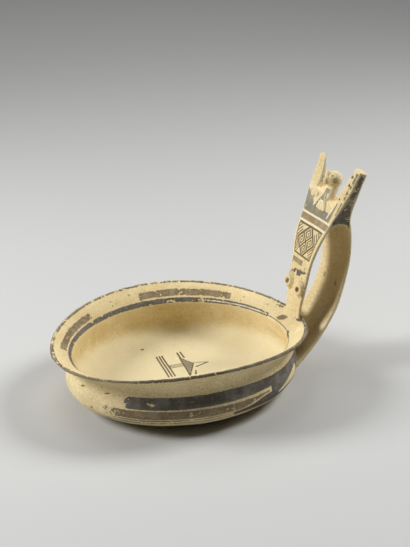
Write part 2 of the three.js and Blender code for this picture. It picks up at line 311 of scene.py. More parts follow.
def along(pairs, height):
    """Value at a height on a smooth curve through (height, value) pairs."""
    heights, values = np.array(pairs, float).T
    order = np.arange(len(values))
    before, after = np.maximum(order - 1, 0), np.minimum(order + 1, len(values) - 1)
    slopes = (values[after] - values[before]) / (heights[after] - heights[before])
    height = np.asarray(height, float)
    i = np.clip(np.searchsorted(heights, height) - 1, 0, len(values) - 2)
    span = heights[i + 1] - heights[i]
    t = np.clip((height - heights[i]) / span, 0, 1)
    return ((2 * t ** 3 - 3 * t ** 2 + 1) * values[i] + (t ** 3 - 2 * t ** 2 + t) * span * slopes[i]
            + (3 * t ** 2 - 2 * t ** 3) * values[i + 1] + (t ** 3 - t ** 2) * span * slopes[i + 1])


def front_at(height, width):
    """Front face of the inner strap and horns, with the far edge a little forward."""
    return along(INNER_FACE, height) - np.maximum(width, 0) * along(FAR_EDGE_FORWARD, height)


def lean_at(face, height):
    return (along(face, height + 1) - along(face, height - 1)) / 2


def leaning_depth(face, height):
    """Depth along X that gives a leaning strap its true thickness."""
    return STRAP_THICKNESS * np.sqrt(1 + lean_at(face, height) ** 2)


def rounded_width(half_width, depth):
    """Half width of a strap with rounded edges."""
    return half_width - STRAP_EDGE * (1 - np.sqrt(np.maximum(1 - depth ** 2, 0)))


def soft_corner(value, other, softness):
    """One coordinate of a square section, drawn in where the other is large."""
    return value * np.sqrt(1 - 0.5 * softness * other ** 2)


def block(steps, place):
    """Closed block: (points, faces), its points placed from depth and width, -1 to 1, and rise, 0 to 1."""
    depths = np.sin(np.linspace(-1, 1, steps[0] + 1) * math.pi / 2)
    widths = np.linspace(-1, 1, steps[1] + 1)
    rises = np.linspace(0, 1, steps[2] + 1)
    shell = np.zeros((len(depths), len(widths), len(rises)), bool)
    shell[[0, -1]] = True
    shell[:, [0, -1]] = True
    shell[:, :, [0, -1]] = True
    ids = -np.ones(shell.shape, int)
    ids[shell] = np.arange(shell.sum())
    depth, width, rise = (a[shell] for a in np.meshgrid(depths, widths, rises, indexing="ij"))
    faces = []
    for sheet, flipped in ((ids[-1], False), (ids[0], True), (ids[:, -1], True), (ids[:, 0], False),
                           (ids[:, :, -1], False), (ids[:, :, 0], True)):
        quads = np.stack([sheet[:-1, :-1], sheet[1:, :-1], sheet[1:, 1:], sheet[:-1, 1:]], -1).reshape(-1, 4)
        faces.append(quads[:, ::-1] if flipped else quads)
    return np.stack(place(depth, width, rise), -1), np.concatenate(faces)


def turned(profile, sides):
    """Closed lathe about Z of an (n, 2) profile whose ends are on the axis."""
    angles = np.linspace(0, 2 * math.pi, sides, endpoint=False)
    inner = profile[1:-1]
    rings = np.stack([inner[:, 0, None] * np.cos(angles), inner[:, 0, None] * np.sin(angles),
                      np.repeat(inner[:, 1, None], sides, 1)], -1).reshape(-1, 3)
    points = np.concatenate([[(0, 0, profile[0, 1])], rings, [(0, 0, profile[-1, 1])]])
    ids = 1 + np.arange(len(inner) * sides).reshape(-1, sides)
    after = np.roll(ids, -1, axis=1)
    quads = np.stack([ids[:-1], after[:-1], after[1:], ids[1:]], -1).reshape(-1, 4)
    last = len(points) - 1
    caps = [(0, b, a) for a, b in zip(ids[0], after[0])]
    caps += [(last, a, b) for a, b in zip(ids[-1], after[-1])]
    return points, [tuple(q) for q in quads] + caps


def lower_wall(belly, foot, floor, count):
    """Points from the belly's widest place down to the foot."""
    angle = np.linspace(0, 1, count) * math.pi / 2
    return np.stack([foot + (belly - foot) * np.cos(angle) ** BELLY_SIDE_POWER,
                     floor + (BELLY_HEIGHT - floor) * (1 - np.sin(angle) ** BELLY_FOOT_POWER)], -1)


def shoulder(belly, neck, count):
    """Points from the belly's widest place up to the neck."""
    t = np.linspace(0, 1, count)
    ease = (1 - np.cos(math.pi * t)) / 2
    return np.stack([belly + (neck[0] - belly) * ease, BELLY_HEIGHT + (neck[1] - BELLY_HEIGHT) * t], -1)


def flare(neck, lip, hollow, count):
    """Points from the neck up to the lip, bowed outwards by the hollow."""
    t = np.linspace(0, 1, count)[:, None]
    middle = np.array([neck[0] + hollow, (neck[1] + lip[1]) / 2])
    return (1 - t) ** 2 * np.array(neck) + 2 * t * (1 - t) * middle + t ** 2 * np.array(lip)


def bowl_profile():
    """Wall section from the underside's centre round the lip to the floor's centre, and its top point."""
    half = LIP_THICKNESS / 2
    angles = np.linspace(*LIP_ROUND, 15)
    lip = np.array([LIP_RADIUS - half, LIP_HEIGHT]) + half * np.stack([np.cos(angles), np.sin(angles)], -1)
    inner_belly = BELLY_RADIUS - WALL
    outside = [
        np.stack([np.linspace(0, BASE_RADIUS, 14), np.zeros(14)], -1),
        lower_wall(BELLY_RADIUS, BASE_RADIUS, 0, 44)[::-1][1:],
        shoulder(BELLY_RADIUS, NECK_OUTER, 12)[1:],
        flare(NECK_OUTER, lip[0], FLARE_HOLLOW_OUTSIDE, 16)[1:],
    ]
    inside = [
        flare(NECK_CREASE, lip[-1], FLARE_HOLLOW_INSIDE, 16)[::-1][1:],
        shoulder(inner_belly, NECK_CREASE, 14)[::-1][1:],
        lower_wall(inner_belly, FLOOR_RADIUS, FLOOR_THICKNESS, 36)[1:],
        np.stack([np.linspace(FLOOR_RADIUS, 0, 13), np.full(13, FLOOR_THICKNESS)], -1)[1:],
    ]
    profile = np.concatenate(outside + [lip[1:]] + inside)
    top = sum(len(a) for a in outside) + int(np.argmax(lip[1:, 1]))
    return profile, top


def sag_at(points, level):
    """How far the rim dips towards the handle and away from it; negative between, where it rises."""
    share = np.maximum(level - RIM_SAG_START, 0) / (LIP_HEIGHT - RIM_SAG_START)
    return RIM_SAG * share ** 2 * np.cos(2 * np.arctan2(points[:, 1], points[:, 0]))


def sag(points):
    moved = points.copy()
    moved[:, 2] -= sag_at(points, points[:, 2])
    return moved


def inner_strap(depth, width, rise):
    height = INNER_FOOT_HEIGHT + (ARCH_HEIGHT + STRAP_OVERLAP - INNER_FOOT_HEIGHT) * rise
    front = front_at(height, width)
    x = front + (depth + 1) / 2 * leaning_depth(INNER_FACE, height)
    return x, width * rounded_width(along(INNER_HALF_WIDTH, height), depth), height


def outer_strap(depth, width, rise):
    height = OUTER_FOOT_HEIGHT + (ARCH_HEIGHT + STRAP_OVERLAP - OUTER_FOOT_HEIGHT) * rise
    near_foot = np.clip(1 - (height - OUTER_FOOT_HEIGHT) / FOOT_REACH, 0, 1)
    near_crown = np.clip((ARCH_HEIGHT - height) / CROWN_REACH, 0, 1)
    bow = (STRAP_BOW * near_crown + (FOOT_BOW - STRAP_BOW) * near_foot) * (1 - width ** 2)
    spread = leaning_depth(OUTER_FACE, height) * (1 + FOOT_THICKENING * near_foot ** 3)
    x = along(OUTER_FACE, height) + bow - (1 - depth) / 2 * spread
    return x, width * rounded_width(along(OUTER_HALF_WIDTH, height), depth), height


def crotch_at(width):
    """Height of the fork's edge, which runs down inside the horns."""
    in_horn = np.clip(np.abs(width) * 3 - 2, 0, 1)
    return (CROTCH_HEIGHT + CROTCH_TILT * width) * (1 - in_horn) + CROTCH_HEIGHT_IN_HORN * in_horn


def crown(depth, width, rise):
    foot = ARCH_HEIGHT - ARCH_RISE * depth ** 2
    height = foot + (crotch_at(width) - foot) * rise
    front = front_at(height, width)
    x = front + (along(OUTER_FACE, height) - front) * (depth + 1) / 2
    return x, width * rounded_width(along(INNER_HALF_WIDTH, height), depth), height


def horn(side):
    """Horn on one side; the far one is worn at the back and bevelled in front."""
    trim = WORN_HORN_TRIM if side > 0 else 0

    def place(depth, width, rise):
        middle = HORN_ROOT_HEIGHT + (HORN_TIP_HEIGHT - HORN_ROOT_HEIGHT) * rise
        front = front_at(middle, side)
        back = along(OUTER_FACE, middle) - trim * rise
        near = along(HORN_INNER_EDGE, middle)
        far = along(INNER_HALF_WIDTH, middle)
        if side > 0:
            front = front + WORN_HORN_BEVEL * (1 - width) / 2 * np.clip(rise * 3 - 0.6, 0, 1)
        x = (front + back) / 2 + soft_corner(depth, width, HORN_SOFTNESS) * (back - front) / 2
        y = (near + far) / 2 + side * soft_corner(width, depth, HORN_SOFTNESS) * (far - near) / 2
        slope = HORN_TIP_SLOPE * (x - (front + back) / 2) + HORN_TIP_FALL * (y - (near + far) / 2)
        return x, side * y, middle - rise * slope

    return place


def body_front(height):
    """Front of the figure's body, proud of the strap's face."""
    rise = (height - BODY_FOOT_HEIGHT) / (BODY_TOP_HEIGHT - BODY_FOOT_HEIGHT)
    return along(INNER_FACE, height) - BODY_PROUD * np.sin(math.pi * rise)


def figure_body(depth, width, rise):
    height = BODY_FOOT_HEIGHT + (BODY_TOP_HEIGHT - BODY_FOOT_HEIGHT) * rise
    front = body_front(height)
    back = along(INNER_FACE, height) + BODY_DEPTH
    x = (front + back) / 2 + soft_corner(depth, width, BODY_SOFTNESS) * (back - front) / 2
    return x, soft_corner(width, depth, BODY_SOFTNESS) * along(BODY_HALF_WIDTH, height), height


def leg(side):
    """Low ridge down the front of the body, one of a pair that spread like an inverted V."""
    def place(depth, width, rise):
        height = LEG_TOP_HEIGHT - LEG_DROP * rise
        ridge = LEG_THICKNESS * np.sqrt(1 - 0.9 * width ** 2) * (1 - depth) / 2
        x = body_front(height) + LEG_SUNK - ridge
        return x, side * (LEG_START + LEG_SPREAD * rise) + LEG_HALF_WIDTH * width, height

    return place


def ball(centre, radii, sides=40):
    angle = np.linspace(-math.pi / 2, math.pi / 2, sides // 2 + 1)
    points, faces = turned(np.stack([np.cos(angle), np.sin(angle)], -1), sides)
    return points * np.array(radii) + np.array(centre), faces


def button(foot, out, radius, rise, dimple_radius, dimple_depth):
    """Low round button with a dimple, standing on a point and facing outwards."""
    turn = np.linspace(0, math.pi / 2, 9)
    round_share = BUTTON_FLAT + (1 - BUTTON_FLAT) * np.cos(turn)
    rim = np.stack([radius * round_share, rise * np.sin(turn)], -1)
    dimple = np.linspace(0, 1, 6)[:, None]
    sunk = dimple_depth * np.sin(dimple * math.pi / 2)
    hollow = np.concatenate([dimple_radius * (1 - dimple), rise - sunk], 1)
    profile = np.concatenate([[(0, -BUTTON_ROOT), (radius, -BUTTON_ROOT)], rim, hollow])
    points, faces = turned(profile, 40)
    out = np.array(out) / np.linalg.norm(out)
    across = np.cross(out, (0, 0, 1))
    across /= np.linalg.norm(across)
    return np.array(foot) + points @ np.stack([across, np.cross(out, across), out]), faces


def knob(side):
    height = KNOB_HEIGHT + FAR_KNOB_LIFT * (side > 0)
    foot = (along(INNER_FACE, height), side * KNOB_OFFSET, height)
    out = (-1, KNOB_TURN, lean_at(INNER_FACE, height))
    return button(foot, out, KNOB_RADIUS, KNOB_RISE, KNOB_DIMPLE_RADIUS, KNOB_DIMPLE_DEPTH)


def pellet_axis(side):
    axis = np.array(PELLET_AXIS) * (1, side, 1)
    return axis / np.linalg.norm(axis)


def pellet(side):
    axis = pellet_axis(side)
    foot = np.array(HEAD_CENTRE) + axis * (np.mean(HEAD_RADII) - PELLET_SUNK)
    return button(foot, axis, PELLET_RADIUS, PELLET_RISE, PELLET_DIMPLE_RADIUS, PELLET_DIMPLE_DEPTH)


def mesh_object(name, points, faces):
    mesh = bpy.data.meshes.new(name)
    mesh.from_pydata([tuple(p) for p in points], [], [tuple(int(i) for i in f) for f in faces])
    mesh.update()
    made = bpy.data.objects.new(name, mesh)
    bpy.context.scene.collection.objects.link(made)
    return made


def joined(parts):
    points, faces, start = [], [], 0
    for part_points, part_faces in parts:
        points.append(part_points)
        faces.extend([tuple(int(i) + start for i in f) for f in part_faces])
        start += len(part_points)
    return np.concatenate(points), faces


def with_modifier(made, kind, **settings):
    """Put the result of one modifier in place of the object's mesh."""
    modifier = made.modifiers.new(kind, kind)
    for key, value in settings.items():
        setattr(modifier, key, value)
    graph = bpy.context.evaluated_depsgraph_get()
    result = bpy.data.meshes.new_from_object(made.evaluated_get(graph))
    old = made.data
    made.modifiers.clear()
    made.data = result
    bpy.data.meshes.remove(old)


def read_points(mesh):
    flat = np.empty(len(mesh.vertices) * 3)
    mesh.vertices.foreach_get("co", flat)
    return flat.reshape(-1, 3)


class Skin:
    """Neighbours and normals of a mesh, for smoothing its points."""

    def __init__(self, mesh):
        self.count = len(mesh.vertices)
        ends = np.empty(len(mesh.edges) * 2, int)
        mesh.edges.foreach_get("vertices", ends)
        self.a, self.b = ends.reshape(-1, 2).T
        degree = np.bincount(self.a, minlength=self.count) + np.bincount(self.b, minlength=self.count)
        self.degree = np.maximum(degree, 1)
        mesh.calc_loop_triangles()
        corners = np.empty(len(mesh.loop_triangles) * 3, int)
        mesh.loop_triangles.foreach_get("vertices", corners)
        self.triangles = corners.reshape(-1, 3)

    def spread(self, values):
        """Mean of each point's neighbours."""
        columns = []
        for column in values.T:
            after = np.bincount(self.a, column[self.b], self.count)
            before = np.bincount(self.b, column[self.a], self.count)
            columns.append(after + before)
        return np.stack(columns, -1) / self.degree[:, None]

    def normals(self, points):
        p, q, r = (points[self.triangles[:, i]] for i in range(3))
        faces = np.cross(q - p, r - p)
        total = np.zeros_like(points)
        for i in range(3):
            for axis in range(3):
                total[:, axis] += np.bincount(self.triangles[:, i], faces[:, axis], self.count)
        return total / np.maximum(np.linalg.norm(total, axis=1), 1e-12)[:, None]


def waves(points, height, length, seed):
    """Smooth field with bumps of about that height and length."""
    rng = np.random.default_rng(seed)
    total = np.zeros(len(points))
    for _ in range(WAVES):
        way = rng.normal(size=3)
        way *= 2 * math.pi / (length * np.linalg.norm(way)) * rng.uniform(0.7, 1.4)
        total += np.sin(points @ way + rng.uniform(0, 2 * math.pi))
    return height * (total / WAVES ** 0.5)


def nearest_on_profile(radius, height, profile):
    """Distance to the profile, and the place on it as (radius, height, length along it)."""
    steps = np.diff(profile, axis=0)
    lengths = np.concatenate([[0], np.cumsum(np.linalg.norm(steps, axis=1))])
    best = np.full(len(radius), 1e9)
    found = np.zeros((len(radius), 3))
    for i, step in enumerate(steps):
        ahead = (radius - profile[i, 0]) * step[0] + (height - profile[i, 1]) * step[1]
        t = np.clip(ahead / (step @ step), 0, 1)
        x, z = profile[i, 0] + t * step[0], profile[i, 1] + t * step[1]
        distance = np.hypot(radius - x, height - z)
        nearer = distance < best
        best[nearer] = distance[nearer]
        found[nearer] = np.stack([x, z, lengths[i] + t * (lengths[i + 1] - lengths[i])], -1)[nearer]
    return best, found, lengths


def fading(values, low, high):
    """Smooth step from 0 at low to 1 at high."""
    t = np.clip((values - low) / (high - low), 0, 1)
    return t * t * (3 - 2 * t)


def head_ridges(points):
    """Shallow ridges in arcs below the pellet on each side of the head."""
    away = points - np.array(HEAD_CENTRE)
    distance = np.linalg.norm(away, axis=1)
    on_head = fading(-distance, -9.5, -8.0) * fading(away[:, 0], -4.5, -3.0)
    unit = away / np.maximum(distance, 1e-6)[:, None]
    total = np.zeros(len(points))
    for side in (-1, 1):
        axis = pellet_axis(side)
        angle = np.degrees(np.arccos(np.clip(unit @ axis, -1, 1)))
        below = fading(unit @ axis * 0.9 - unit[:, 2], 0.1, 0.5)
        arcs = np.cos((angle - RIDGE_ANGLE) * math.pi / RIDGE_SPACING)
        total += arcs * fading(angle, 24, 30) * fading(-angle, -76, -66) * below
    return total * on_head


def vessel_mesh():
    """The whole vessel as one mesh, with the bowl's profile and the index of its top point."""
    profile, top = bowl_profile()
    bowl_points, bowl_faces = turned(profile, BOWL_SIDES)
    parts = [(sag(bowl_points), bowl_faces), block((10, 24, 110), inner_strap),
             block((10, 30, 150), outer_strap), block((24, 60, 20), crown),
             block((16, 20, 40), figure_body), ball(HEAD_CENTRE, HEAD_RADII),
             ball(FACE_CENTRE, FACE_RADII), ball(MUZZLE_CENTRE, MUZZLE_RADII)]
    for side in (-1, 1):
        parts += [block((14, 14, 60), horn(side)), knob(side), pellet(side), block((6, 8, 20), leg(side))]
    vessel = mesh_object("vessel", *joined(parts))
    with_modifier(vessel, "REMESH", mode="VOXEL", voxel_size=VOXEL)
    skin = Skin(vessel.data)
    points = read_points(vessel.data)

    # Corners between the joined pieces fill out as smoothed clay does, least round the small forms
    height = points[:, 2]
    knobs = fading(-np.abs(height - KNOB_HEIGHT), -9, -7) * (points[:, 0] < 102)
    strength = FILL_STRENGTH * (1 - np.maximum(0.8 * fading(height, 118, 124), 0.94 * knobs))
    for _ in range(FILL_ROUNDS):
        pull = skin.spread(points) - points
        normals = skin.normals(points)
        lift = (pull * normals).sum(1)
        points += (np.where(lift > FILL_LEAST, lift, 0) * strength)[:, None] * normals
    for _ in range(SMOOTH_ROUNDS):
        points += 0.5 * (skin.spread(points) - points)

    # Hand-made unevenness, worn tips and a rubbed lip
    normals = skin.normals(points)
    height = points[:, 2]
    calm = np.clip(height / 6, 0, 1)
    radius = np.hypot(points[:, 0], points[:, 1])
    near_lip = np.clip(1 - np.abs(radius - 97) / 3, 0, 1) * (height > 41) * (height < 53)
    tips = fading(height, 152, 158)
    rise = (waves(points, *HAND_WAVE, seed=3) - SETTLE) * calm
    rise += (waves(points, *LIP_WAVE, seed=5) - LIP_RUB) * near_lip + waves(points, *TIP_WAVE, seed=8) * tips
    rise += RIDGE_HEIGHT * head_ridges(points)
    points += rise[:, None] * normals
    vessel.data.vertices.foreach_set("co", points.ravel())
    vessel.data.update()
    faces = len(skin.triangles)
    with_modifier(vessel, "DECIMATE", ratio=min(TRIANGLES / faces, 1))
    return vessel, profile, top


def add_values(mesh, name, values):
    attribute = mesh.attributes.new(name, "FLOAT", "POINT")
    attribute.data.foreach_set("value", np.asarray(values, np.float32))


def ramp(values, start, width):
    """Straight ramp from 0 at the start to 1 a width further."""
    return np.clip((values - start) / width, 0, 1)


def describe(vessel, profile, top):
    """Store what the materials read: place on the profile, wear, hollows for painted shade and the side a
    point faces.
    """
    mesh = vessel.data
    points = read_points(mesh)
    skin = Skin(mesh)
    normals = skin.normals(points)
    radius = np.hypot(points[:, 0], points[:, 1])
    level = points[:, 2].copy()
    for _ in range(SAG_ROUNDS):
        level = points[:, 2] + sag_at(points, level)
    away, place, lengths = nearest_on_profile(radius, np.minimum(level, 60), profile)
    smooth = points.copy()
    for _ in range(BEND_ROUNDS):
        smooth = skin.spread(smooth)
    bend = ((smooth - points) * normals).sum(1)
    for _ in range(2):
        bend = skin.spread(bend[:, None])[:, 0]
    arc = place[:, 2] - lengths[top]
    add_values(mesh, "level", place[:, 1])
    add_values(mesh, "arc", arc)
    # Hollows, which the clay darkens as painted shade, and convex edges, which lose paint and go paler
    add_values(mesh, "sunk", np.clip(bend * BEND_SCALE, 0, 1))
    add_values(mesh, "worn", np.clip(-bend * BEND_SCALE, 0, 1))
    before_face = along(INNER_FACE, points[:, 2]) - points[:, 0]
    front = ramp(-normals[:, 0], 0.3, 0.25) * ramp(before_face, -2.2, 0.8)
    add_values(mesh, "front", front * (points[:, 2] > FRONT_LOWEST))
    outer = ramp(np.abs(points[:, 1]), 19, 2)
    add_values(mesh, "near_side", ramp(-normals[:, 1], 0.35, 0.3) * outer)
    add_values(mesh, "far_side", ramp(normals[:, 1], 0.35, 0.3) * outer)
    add_values(mesh, "back", ramp(normals[:, 0], 0.45, 0.3))

    # Bowl inside, bowl outside or handle, by face
    count = len(mesh.polygons)
    starts = np.empty(count, int)
    mesh.polygons.foreach_get("loop_start", starts)
    loops = np.empty(len(mesh.loops), int)
    mesh.loops.foreach_get("vertex_index", loops)
    first = loops[starts]
    kind = np.where(away[first] > BOWL_REACH, 2, np.where(arc[first] > 0, 0, 1))
    mesh.polygons.foreach_set("material_index", kind.astype(np.int32))
    mesh.polygons.foreach_set("use_smooth", np.ones(count, bool))
    mesh.update()


vessel, profile, lip_top = vessel_mesh()
describe(vessel, profile, lip_top)
vessel.data.transform(Matrix.Scale(MM, 4))
vessel.name = "vessel_clay"


class Term:
    """A number in a node tree. Arithmetic on it adds Math nodes."""

    def __init__(self, tree, socket):
        self.tree = tree
        self.socket = socket

    def __add__(self, other):
        return calc("ADD", self, other)

    __radd__ = __add__

    def __sub__(self, other):
        return calc("SUBTRACT", self, other)

    def __rsub__(self, other):
        return calc("SUBTRACT", other, self)

    def __mul__(self, other):
        return calc("MULTIPLY", self, other)

    __rmul__ = __mul__

    def __truediv__(self, other):
        return calc("DIVIDE", self, other)

    def __abs__(self):
        return calc("ABSOLUTE", self)


def plug(tree, slot, value):
    if isinstance(value, Term):
        tree.links.new(value.socket, slot)
    elif isinstance(value, bpy.types.NodeSocket):
        tree.links.new(value, slot)
    else:
        slot.default_value = value


def add_node(tree, kind, **inputs):
    node = tree.nodes.new("ShaderNode" + kind)
    for name, value in inputs.items():
        plug(tree, node.inputs[name], value)
    return node


def calc(operation, *terms):
    tree = next(t.tree for t in terms if isinstance(t, Term))
    node = add_node(tree, "Math")
    node.operation = operation
    for slot, term in zip(node.inputs, terms):
        plug(tree, slot, term)
    return Term(tree, node.outputs[0])


def least(first, *others):
    for other in others:
        first = calc("MINIMUM", first, other)
    return first


def most(first, *others):
    for other in others:
        first = calc("MAXIMUM", first, other)
    return first


def length_of(first, *others):
    """Length of the vector that the terms make."""
    total = first * first
    for other in others:
        total = total + other * other
    return calc("SQRT", total)


def step(term, low, high):
    """Smooth step of a term from 0 at low to 1 at high."""
    node = add_node(term.tree, "MapRange")
    node.interpolation_type = "SMOOTHSTEP"
    for slot, value in zip(node.inputs, (term, low, high, 0.0, 1.0)):
        plug(term.tree, slot, value)
    return Term(term.tree, node.outputs[0])


def within(term, low, high):
    """How far a term is inside a range, negative outside it."""
    return least(term - low, high - term)


def within_any(term, ranges):
    return most(*(within(term, *span) for span in ranges))


def box(u, v, corners):
    """How far inside a box a place is, from its lowest and highest corners."""
    (u_low, v_low), (u_high, v_high) = corners
    return least(within(u, u_low, u_high), within(v, v_low, v_high))


def blob(u, v, centre, reach, turn=0.0):
    """How far inside an ellipse a place is, in about the units of its smaller reach."""
    du, dv = u - centre[0], v - centre[1]
    if turn:
        c, s = math.cos(math.radians(turn)), math.sin(math.radians(turn))
        du, dv = du * c + dv * s, dv * c - du * s
    return (1 - length_of(du * (1 / reach[0]), dv * (1 / reach[1]))) * min(reach)


def stroke(u, v, start, end, half_start, half_end):
    """How far inside a tapered stroke a place is."""
    du, dv = end[0] - start[0], end[1] - start[1]
    long = du * du + dv * dv
    pu, pv = u - start[0], v - start[1]
    t = least(most(pu * (du / long) + pv * (dv / long), 0.0), 1.0)
    return (half_start + t * (half_end - half_start)) - length_of(pu - t * du, pv - t * dv)


def strokes(u, v, pieces):
    return most(*(stroke(u, v, *piece) for piece in pieces))


class Clay:
    """Places in millimetres and degrees, noises and paint layers of one clay material."""

    def __init__(self, name, pitted):
        self.pitted = pitted
        self.material = bpy.data.materials.new(name)
        self.material.use_nodes = True
        self.tree = self.material.node_tree
        self.shader = self.tree.nodes["Principled BSDF"]
        self.place = self.vector("SCALE", add_node(self.tree, "TexCoord").outputs["Object"], 1 / MM)
        self.x, self.y, self.z = self.parts(self.place)
        self.angle = calc("ARCTAN2", self.y, self.x) * (180 / math.pi)
        self.level = self.value("level")
        self.arc = self.value("arc")
        self.flake = self.noise(size=2.2, detail=5, roughness=0.7, seed=1)
        self.patchy = self.noise(size=9, detail=4, roughness=0.6, seed=2)
        self.wide = self.noise(size=30, detail=3, roughness=0.5, seed=3)
        self.fine = self.noise(size=0.7, detail=2, roughness=0.6, seed=4)
        self.layers = []

    def value(self, name):
        node = add_node(self.tree, "Attribute")
        node.attribute_name = name
        return Term(self.tree, node.outputs["Fac"])

    def facing(self, name):
        """How far inside one side of the handle a place is, from the share stored on the points."""
        return (self.value(name) - 0.5) * 2.5

    def vector(self, operation, first, second=None):
        node = add_node(self.tree, "VectorMath")
        node.operation = operation
        plug(self.tree, node.inputs[0], first)
        if second is not None:
            plug(self.tree, node.inputs["Scale"] if operation == "SCALE" else node.inputs[1], second)
        return node.outputs[0]

    def parts(self, vector):
        """The three numbers of a vector."""
        node = add_node(self.tree, "SeparateXYZ", Vector=vector)
        return [Term(self.tree, socket) for socket in node.outputs]

    def noise(self, size, detail, roughness, seed):
        where = self.vector("ADD", self.place, (17.3 * seed, 9.1 * seed, 5.7 * seed))
        settings = {"Scale": 1 / size, "Detail": detail, "Roughness": roughness}
        return Term(self.tree, add_node(self.tree, "TexNoise", Vector=where, **settings).outputs[0])

    def specks(self, spacing, rare, reach, seed):
        """Scattered ragged dots, in the cells whose random number is over rare."""
        where = self.vector("ADD", self.place, (11.9 * seed, 23.1 * seed, 3.3 * seed))
        cells = add_node(self.tree, "TexVoronoi", Vector=where, Scale=1 / spacing)
        pick = add_node(self.tree, "SeparateColor", Color=cells.outputs["Color"])
        chosen = step(Term(self.tree, pick.outputs[0]), rare, rare + 0.02)
        near = Term(self.tree, cells.outputs["Distance"]) + (self.fine - 0.5) * 0.12
        return step(near, reach + 0.03, reach - 0.03) * chosen

    def mix(self, share, first, second):
        node = add_node(self.tree, "Mix")
        node.data_type = "RGBA"
        plug(self.tree, node.inputs[0], share)
        for slot, colour in ((node.inputs[6], first), (node.inputs[7], second)):
            plug(self.tree, slot, colour if isinstance(colour, bpy.types.NodeSocket) else (*colour, 1))
        return node.outputs[2]

    def layer(self, share, colours, rub=0.75):
        """A layer of paint by its share of the surface; rub is how much of it worn clay loses."""
        self.layers.append((share, colours, rub))

    def uneven(self, by_flake, by_patch):
        """Random shift of an edge, in millimetres."""
        return (self.flake - 0.5) * by_flake, (self.patchy - 0.5) * by_patch

    def paint(self, inside, colours, ragged=1.0, hold=0.3, cover=0.95, soft=0.16, rub=0.75):
        """Paint on what is inside, with ragged edges; the lower its hold, the more flakes off."""
        by_flake, by_patch = self.uneven(ragged * 4, ragged * 3)
        edge = step(inside + by_flake + by_patch, -soft, soft)
        kept = step(self.patchy * 0.5 + self.flake * 0.5 + hold, 0.485, 0.52)
        self.layer(edge * kept * cover, colours, rub)

    def lines(self, inside, colours, cover=0.95, hold=0.12):
        """Fine painting with nearly clean edges."""
        self.paint(inside, colours, ragged=0.1, hold=hold, cover=cover)

    def bare(self, specks, pits):
        """Colour of the unpainted clay, with painted shade darkening its hollows and creases."""
        tone = self.mix(step(self.wide, 0.36, 0.66), CREAM, CREAM_DEEP)
        tone = self.mix(0.5, tone, CREAM)
        tone = self.mix(step(self.patchy, 0.5, 0.72) * 0.45, tone, CREAM_PALE)
        tone = self.mix(step(self.fine, 0.55, 0.75) * 0.4, tone, CREAM_DEEP)
        mottle = self.noise(size=1.7, detail=3, roughness=0.65, seed=9)
        tone = self.mix(step(mottle, 0.5, 0.62) * (0.2 + 0.35 * self.pitted), tone, CREAM_DEEP)
        tone = self.mix(step(mottle, 0.46, 0.36) * (0.15 + 0.3 * self.pitted), tone, CREAM_WHITE)
        tone = self.mix(specks * 0.75, tone, STAIN_AND_SHADE)
        tone = self.mix(pits * 0.42, tone, STAIN_AND_SHADE)
        tone = self.mix(self.value("worn") * 0.35, tone, CREAM_PALE)
        # Painted shade: hollows and creases darkened towards the dark brown
        return self.mix(step(self.value("sunk"), 0.25, 0.9) * 0.5, tone, STAIN_AND_SHADE)

    def finish(self):
        """Join clay and paint on the shader, with their roughness and relief."""
        tree = self.tree
        specks = self.specks(spacing=5.0, rare=1 - 0.28 * self.pitted, reach=0.12, seed=1)
        pits = self.specks(spacing=3.0, rare=1 - 0.40 * self.pitted, reach=0.17, seed=2)
        tone = self.bare(specks, pits)
        worn = step(self.value("worn") + (self.flake - 0.5) * 0.6, 0.30, 0.55)
        thinned = step(self.patchy + (self.fine - 0.5) * 0.5, 0.42, 0.68)
        painted = []
        for share, (dense, thin), rub in self.layers:
            left = share * (1 - worn * rub)
            tone = self.mix(left, tone, self.mix(thinned, dense, thin))
            painted.append(left)
        painted = most(*painted)
        slots = self.shader.inputs
        plug(tree, slots["Base Color"], tone)
        plug(tree, slots["Roughness"], 0.86 + (self.fine - 0.5) * 0.2 - painted * 0.22)
        slots["Specular IOR Level"].default_value = SPECULAR
        uneven = self.noise(size=3, detail=3, roughness=0.6, seed=7)
        relief = self.fine * 0.05 + uneven * 0.16 + self.patchy * 0.22 + painted * 0.05
        relief = relief - specks * 0.12 - pits * 0.1
        bump = add_node(tree, "Bump", Strength=1, Distance=MM, Height=relief)
        plug(tree, slots["Normal"], bump.outputs[0])
        return self.material


def paint_bird(clay):
    """Bird on the floor: tail strokes, body bar, filled wing, legs, beak and toe."""
    x, y = clay.x, clay.y
    floor = BIRD_LEVEL - clay.level
    bar = box(x, y, BIRD_BAR)
    edges = least(x - (8.4 + (y - 9) * 0.065), (WING_TIP[0] - x) - abs(y - WING_TIP[1]) * 0.44)
    wing = least(edges, within(y, *WING_SPAN))
    drawn = strokes(x, y, (*BIRD_TAIL, *BIRD_LEGS, *BIRD_BEAK, BIRD_TOE))
    clay.lines(least(bar, floor), BIRD_BODY, cover=0.75)
    clay.lines(least(0.6 - abs(bar), floor), BIRD_INK, cover=0.6)
    clay.lines(least(wing, floor), BIRD_WING)
    clay.lines(least(most(drawn, 0.55 - abs(wing)), floor), BIRD_INK)


